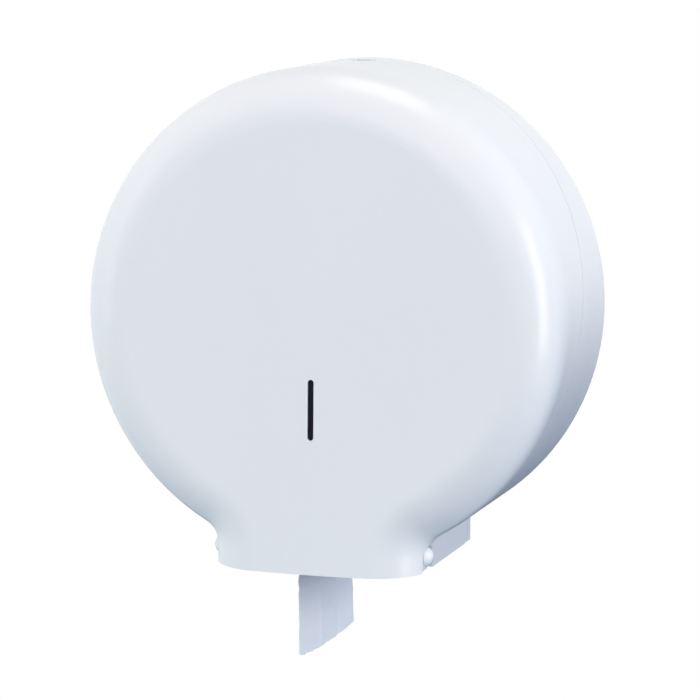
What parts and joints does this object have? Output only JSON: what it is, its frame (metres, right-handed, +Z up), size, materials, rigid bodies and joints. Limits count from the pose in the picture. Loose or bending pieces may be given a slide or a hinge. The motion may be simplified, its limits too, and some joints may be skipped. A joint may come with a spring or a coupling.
{
  "type": "jumbo toilet roll dispenser",
  "caption": "Round wall-mounted dispenser for a jumbo paper roll, with a drop-down front cover on two neck pins, a keyed lock and toothed tear bars.",
  "frame": {"origin": "centre of the four wall screws, on the wall face and on the axis of the drum", "axes": "+X to the right as seen from the room, +Y into the wall, +Z up"},
  "size_m": [0.268, 0.116, 0.325],
  "materials": {
    "shell_white": "glossy",
    "pin_white": "glossy",
    "window_smoke": "glossy",
    "spring_steel": "satin",
    "zinc_steel": "satin",
    "tear_steel": "brushed",
    "rivet_aluminium": "satin",
    "spindle_grey": "matte",
    "hub_white": "matte",
    "washer_dark": "matte",
    "lock_white": "glossy",
    "lock_grey": "satin",
    "card": "matte",
    "paper": "matte"
  },
  "bodies": {
    "base": {"rear_base": "shell_white", "left_hinge_pin": "pin_white", "right_hinge_pin": "pin_white", "left_pin_clip": "spring_steel", "right_pin_clip": "spring_steel", "roll_spindle": "spindle_grey", "spindle_screws": "zinc_steel", "friction_washer": "washer_dark", "spring_washer": "spring_steel", "spindle_cap": "hub_white", "cap_screw": "zinc_steel", "left_tear_bar": "tear_steel", "right_tear_bar": "tear_steel", "left_tear_bar_rivets": "rivet_aluminium", "right_tear_bar_rivets": "rivet_aluminium", "keeper_plate": "zinc_steel", "keeper_screws": "zinc_steel", "paper_web": "paper", "paper_tail": "paper"},
    "cover": {"front_cover": "shell_white", "inspection_window": "window_smoke", "lock_body": "lock_white", "lock_nut": "zinc_steel"},
    "lock_plug": {"lock_barrel": "lock_grey", "lock_cam": "zinc_steel", "cam_screw": "zinc_steel"},
    "roll": {"core_hub": "hub_white", "core_adapter": "spindle_grey", "roll_core": "card", "paper_roll": "paper"}
  },
  "joints": [
    {"name": "cover_swing", "type": "hinge", "parent": "base", "child": "cover", "pos_m": [0, -0.09, -0.129], "axis": [1, 0, 0], "range_deg": [0, 90], "deforming": ["paper_tail"]},
    {"name": "lock_turn", "type": "hinge", "parent": "cover", "child": "lock_plug", "pos_m": [0, -0.028, 0.12], "axis": [0, 0, -1], "range_deg": [0, 90]},
    {"name": "roll_spin", "type": "hinge", "parent": "base", "child": "roll", "pos_m": [0, -0.056, 0], "axis": [0, 1, 0], "continuous": true}
  ]
}
